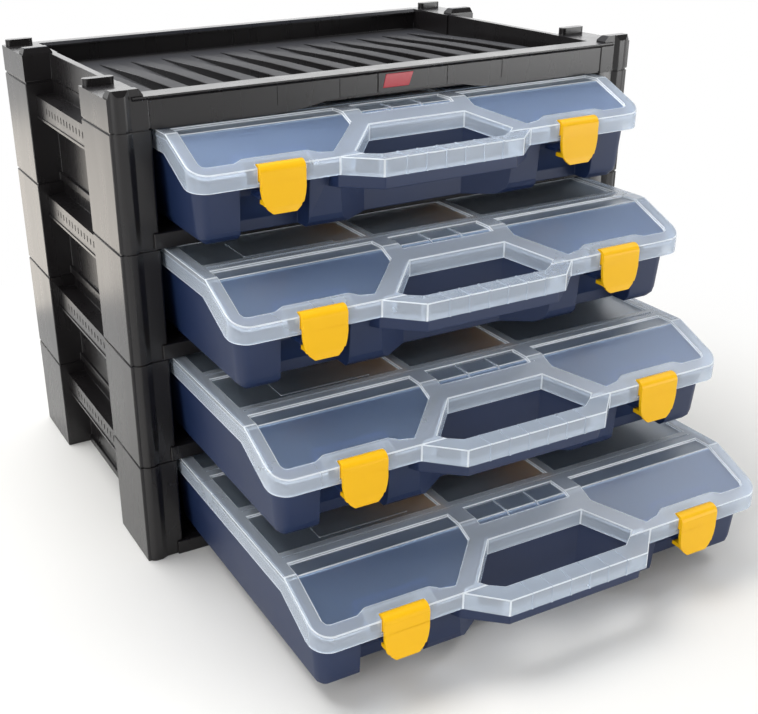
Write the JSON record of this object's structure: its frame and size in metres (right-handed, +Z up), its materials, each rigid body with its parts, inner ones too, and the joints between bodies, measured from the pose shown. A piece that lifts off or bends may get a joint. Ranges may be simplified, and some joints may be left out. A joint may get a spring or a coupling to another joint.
{
  "type": "assortment case",
  "caption": "Stacking rack with a top tray, holding slide-in assortment cases with hinged translucent lids, front grips and yellow snap latches.",
  "frame": {"origin": "on the floor, in the middle of the rack's footprint, on the crossing ribs under the bottom module", "axes": "+Z up, +Y to the back of the rack, so the cases are pulled out along -Y, +X to the right as seen from the front"},
  "size_m": [0.46, 0.5571, 0.38],
  "materials": {
    "rack": "satin moulded black-grey",
    "tray": "satin moulded black-grey",
    "badge": "gloss red, bare",
    "base": "satin moulded navy",
    "lid": "natural translucent, frosted rim and clear panels",
    "latch": "satin moulded yellow",
    "divider": "satin moulded amber-brown"
  },
  "bodies": {
    "rack": {"rack_module_1": "rack", "rack_module_2": "rack", "rack_module_3": "rack", "rack_module_4": "rack", "top_tray": "tray", "badge_plate": "badge"},
    "case_1": {"base_1": "base", "lid_1": "lid", "divider_left_1": "divider", "divider_right_1": "divider"},
    "latch_left_1": {"latch_left_1": "latch"},
    "latch_right_1": {"latch_right_1": "latch"},
    "case_2": {"base_2": "base", "lid_2": "lid", "divider_left_2": "divider", "divider_right_2": "divider"},
    "latch_left_2": {"latch_left_2": "latch"},
    "latch_right_2": {"latch_right_2": "latch"},
    "case_3": {"base_3": "base", "lid_3": "lid", "divider_left_3": "divider", "divider_right_3": "divider"},
    "latch_left_3": {"latch_left_3": "latch"},
    "latch_right_3": {"latch_right_3": "latch"},
    "case_4": {"base_4": "base", "lid_4": "lid", "divider_left_4": "divider", "divider_right_4": "divider"},
    "latch_left_4": {"latch_left_4": "latch"},
    "latch_right_4": {"latch_right_4": "latch"}
  },
  "joints": [
    {"name": "case_1_slide", "type": "slide", "parent": "rack", "child": "case_1", "axis": [0, -1, 0], "range_m": [-0.085, 0.195]},
    {"name": "latch_left_1_hinge", "type": "hinge", "parent": "case_1", "child": "latch_left_1", "pos_m": [-0.129, -0.2092, 0.326], "axis": [-1, 0, 0], "range_deg": [0, 90]},
    {"name": "latch_right_1_hinge", "type": "hinge", "parent": "case_1", "child": "latch_right_1", "pos_m": [0.129, -0.2092, 0.326], "axis": [-1, 0, 0], "range_deg": [0, 90]},
    {"name": "case_2_slide", "type": "slide", "parent": "rack", "child": "case_2", "axis": [0, -1, 0], "range_m": [-0.144, 0.136]},
    {"name": "latch_left_2_hinge", "type": "hinge", "parent": "case_2", "child": "latch_left_2", "pos_m": [-0.129, -0.2682, 0.238], "axis": [-1, 0, 0], "range_deg": [0, 90]},
    {"name": "latch_right_2_hinge", "type": "hinge", "parent": "case_2", "child": "latch_right_2", "pos_m": [0.129, -0.2682, 0.238], "axis": [-1, 0, 0], "range_deg": [0, 90]},
    {"name": "case_3_slide", "type": "slide", "parent": "rack", "child": "case_3", "axis": [0, -1, 0], "range_m": [-0.199, 0.081]},
    {"name": "latch_left_3_hinge", "type": "hinge", "parent": "case_3", "child": "latch_left_3", "pos_m": [-0.129, -0.3232, 0.15], "axis": [-1, 0, 0], "range_deg": [0, 90]},
    {"name": "latch_right_3_hinge", "type": "hinge", "parent": "case_3", "child": "latch_right_3", "pos_m": [0.129, -0.3232, 0.15], "axis": [-1, 0, 0], "range_deg": [0, 90]},
    {"name": "case_4_slide", "type": "slide", "parent": "rack", "child": "case_4", "axis": [0, -1, 0], "range_m": [-0.255, 0.025]},
    {"name": "latch_left_4_hinge", "type": "hinge", "parent": "case_4", "child": "latch_left_4", "pos_m": [-0.129, -0.3792, 0.062], "axis": [-1, 0, 0], "range_deg": [0, 90]},
    {"name": "latch_right_4_hinge", "type": "hinge", "parent": "case_4", "child": "latch_right_4", "pos_m": [0.129, -0.3792, 0.062], "axis": [-1, 0, 0], "range_deg": [0, 90]}
  ]
}
